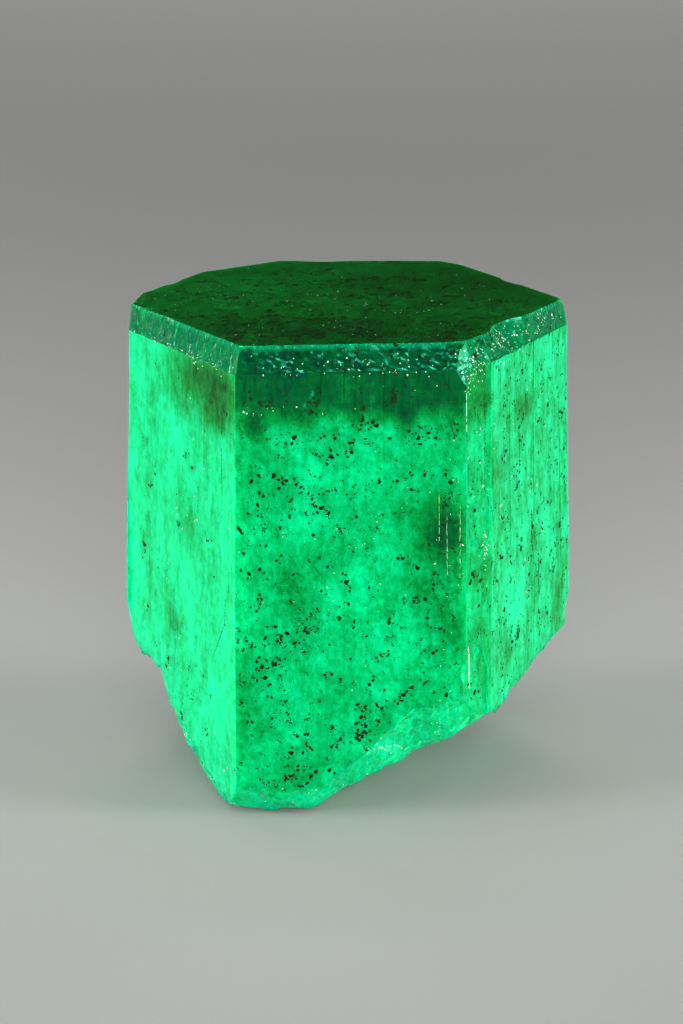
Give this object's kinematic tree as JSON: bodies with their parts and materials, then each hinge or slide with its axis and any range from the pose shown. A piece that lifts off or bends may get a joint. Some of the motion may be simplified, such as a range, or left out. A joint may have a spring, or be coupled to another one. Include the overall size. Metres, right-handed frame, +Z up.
{
  "type": "emerald crystal",
  "caption": "Upright six-sided emerald crystal with a flat top face, a narrow frosted band under the rim and a broken slanting base that it stands on.",
  "frame": {"origin": "on the plane the crystal stands on, under the middle of its bounding box", "axes": "+Z up along the crystal's long axis, +X to the right and +Y to the back as seen from the front face"},
  "size_m": [0.0246, 0.023, 0.0261],
  "materials": {
    "emerald": "cloudy translucent green, glossy side faces, frosted top band and sparkling broken base",
    "inclusions": "dark brown to black mineral specks, a few with a brassy glint"
  },
  "bodies": {
    "root": {"emerald_crystal": "emerald"}
  },
  "joints": []
}
